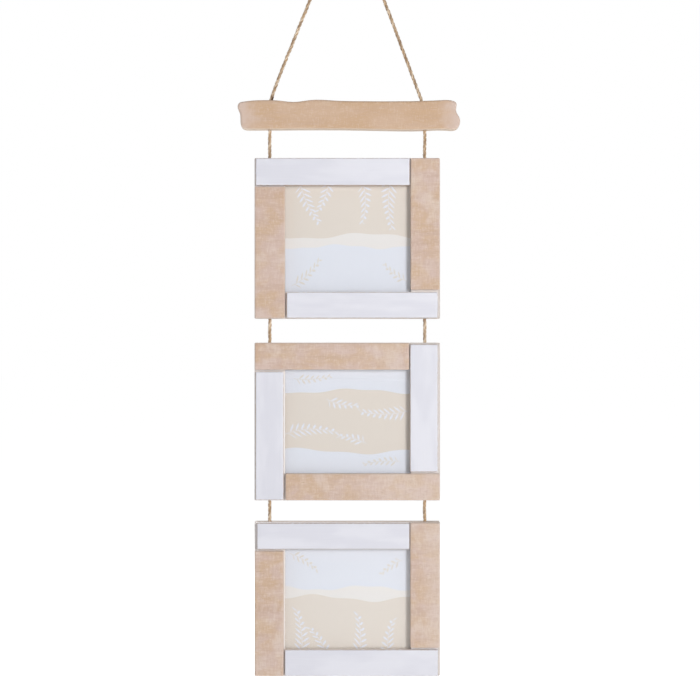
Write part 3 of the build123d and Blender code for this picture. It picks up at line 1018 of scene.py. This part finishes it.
def make_tuft():
    """Fibres that rise out of the bar beside its left hole."""
    rng = random.Random(7)
    thread = Thread()
    middle = np.array(HOLE_MOUTHS[0]) * mm + np.array(tuft_place)
    shares = np.linspace(0, 1, 7)
    for _ in range(tuft_fibres):
        spread = [rng.uniform(-tuft_spread, tuft_spread), rng.uniform(-tuft_spread, tuft_spread), 0]
        foot = middle + np.array(spread)
        rise = rng.uniform(3.5, 8.0) * mm
        lean = np.array([rng.uniform(-0.12, 0.30), rng.uniform(-0.3, 0.1), 1.0])
        points = []
        for share in shares:
            curl = np.array([0.8 * mm * math.sin(3 * share + rise / mm), 0, 0])
            points.append(foot + lean * rise * share + curl * share)
        thread.tube(points, [tuft_fibre_radius * (1 - 0.75 * share) for share in shares], 4, rng.random())
    f = Finish("dark_fibre")
    colour = f.mix(f.step(f.cloud((1500, 1500, 300), 2.0), 0.35, 0.65), TUFT_DARK, TUFT_BROWN)
    tuft = thread.piece("mouth_tuft", f.dress(Base_Color=colour, Roughness=0.9))
    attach(tuft, "crossbar")


pane_seam = 0.35 * mm
pane_gap = 0.06 * mm  # to the print behind a pane
lip_gap = 0.02 * mm  # to the lip in front of it


def pane(name, low, high, material):
    """A sheet of glass with seamed edges."""
    front, back = low.y + lip_gap, high.y - pane_gap
    profile = ((front, pane_seam), (low.y + pane_seam, 0.0), (back - pane_seam, 0.0), (back, pane_seam))
    vertices, faces = [], [[0, 1, 2, 3]]
    for y, inset in profile:
        vertices += [(low.x + inset, y, low.z + inset), (high.x - inset, y, low.z + inset),
                     (high.x - inset, y, high.z - inset), (low.x + inset, y, high.z - inset)]
    for ring in range(len(profile) - 1):
        for side in range(4):
            a, b = 4 * ring + side, 4 * ring + (side + 1) % 4
            faces.append([a, a + 4, b + 4, b])
    last = 4 * (len(profile) - 1)
    faces.append([last + 3, last + 2, last + 1, last])
    return new_piece(name, vertices, faces, material, smooth=False)


def paint(node, material):
    """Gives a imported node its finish."""
    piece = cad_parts[node]
    piece.data.materials.clear()
    piece.data.materials.append(material)


def make_sheets_and_fittings():
    """Back frames, glass, prints, backing boards, buttons and screws."""
    glass, board_finish, steel = clear_glass("clear_glass"), hardboard("hardboard"), zinc("zinc_steel")
    for number in FRAMES:
        name = f"frame_{number}"
        paint(f"{name}_back_frame", back_wood(f"back_wood_{number}", number))
        low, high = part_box(f"{name}_glass")
        piece = pane(f"{name}_pane", low, high, glass)
        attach(piece, name)
        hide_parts(f"{name}_glass")
        paint(f"{name}_print", print_paper(f"print_{number}", number))
        paint(f"{name}_backing_board", board_finish)
        for node in [f"{name}_{side}_button" for side in SIDES] + [f"{name}_button_screws"]:
            paint(node, steel)


def make_lamps():
    """Soft rectangular lamps that face the object's middle."""
    low, high = cad_box
    middle = (Vector(low) + Vector(high)) / 2
    for name, (azimuth, elevation, width, height, power) in LAMPS.items():
        turn, rise = math.radians(azimuth), math.radians(elevation)
        level = math.cos(rise)
        away = Vector((math.sin(turn) * level, -math.cos(turn) * level, math.sin(rise)))
        light = bpy.data.lights.new(name, "AREA")
        light.shape = "RECTANGLE"
        light.size, light.size_y = width, height
        light.energy = power
        lamp = new_object(name, light)
        lamp.location = middle + away * lamp_distance
        lamp.rotation_euler = (-away).to_track_quat("-Z", "Y").to_euler()


def seen_directly(tree):
    """1 for rays that come straight from the camera, off gloss or through glass, else 0."""
    path = tree.nodes.new("ShaderNodeLightPath").outputs
    total = path["Is Camera Ray"]
    for name in ("Is Glossy Ray", "Is Transmission Ray"):
        most = tree.nodes.new("ShaderNodeMath")
        most.operation = "MAXIMUM"
        tree.links.new(total, most.inputs[0])
        tree.links.new(path[name], most.inputs[1])
        total = most.outputs[0]
    return total


def make_world():
    """Even pale light, seen as white."""
    world = bpy.data.worlds.new("studio")
    bpy.context.scene.world = world
    world.use_nodes = True
    tree = world.node_tree
    background = tree.nodes["Background"]
    background.inputs["Color"].default_value = (1.0, 1.0, 1.0, 1.0)
    strength = tree.nodes.new("ShaderNodeMapRange")
    strength.inputs["To Min"].default_value = world_light
    strength.inputs["To Max"].default_value = 1.0
    tree.links.new(seen_directly(tree), strength.inputs["Value"])
    tree.links.new(strength.outputs[0], background.inputs["Strength"])


def make_floor():
    """A plain pale floor below the hanging object that keeps its shadow."""
    low, _ = cad_box
    z, half = low[2] - floor_drop, floor_size / 2
    corners = [(-half, -half, z), (half, -half, z), (half, half, z), (-half, half, z)]
    f = Finish("floor")
    f.dress(Base_Color=FLOOR, Roughness=0.9, Specular_IOR_Level=0.0)
    strength = f.step(seen_directly(f.tree), 0.0, 1.0, floor_bounce, floor_glow)
    glow = f.node("ShaderNodeEmission", {"Strength": strength})
    both = f.node("ShaderNodeAddShader", {0: f.shader.outputs[0], 1: glow.outputs[0]})
    f.put(f.output.inputs["Surface"], both.outputs[0])
    new_piece("floor", corners, [[0, 1, 2, 3]], f.material, smooth=False)


def make_camera():
    """The photograph's viewpoint."""
    camera = bpy.data.cameras.new("camera")
    camera.sensor_width = sensor_width
    camera.lens = focal_pixels / picture_width * sensor_width
    holder = new_object("camera", camera)
    holder.location = camera_place
    holder.rotation_euler = (math.radians(90), 0, 0)
    bpy.context.scene.camera = holder


bpy.context.scene.view_settings.view_transform = "Standard"
make_camera()
jute_finish = jute("jute")
make_hanging_cord(jute_finish)
make_link_cords(jute_finish)
make_stubs(jute_finish)
make_knots(jute_finish)
make_tuft()
make_crossbar()
make_slats()
make_sheets_and_fittings()
make_world()
make_lamps()
make_floor()
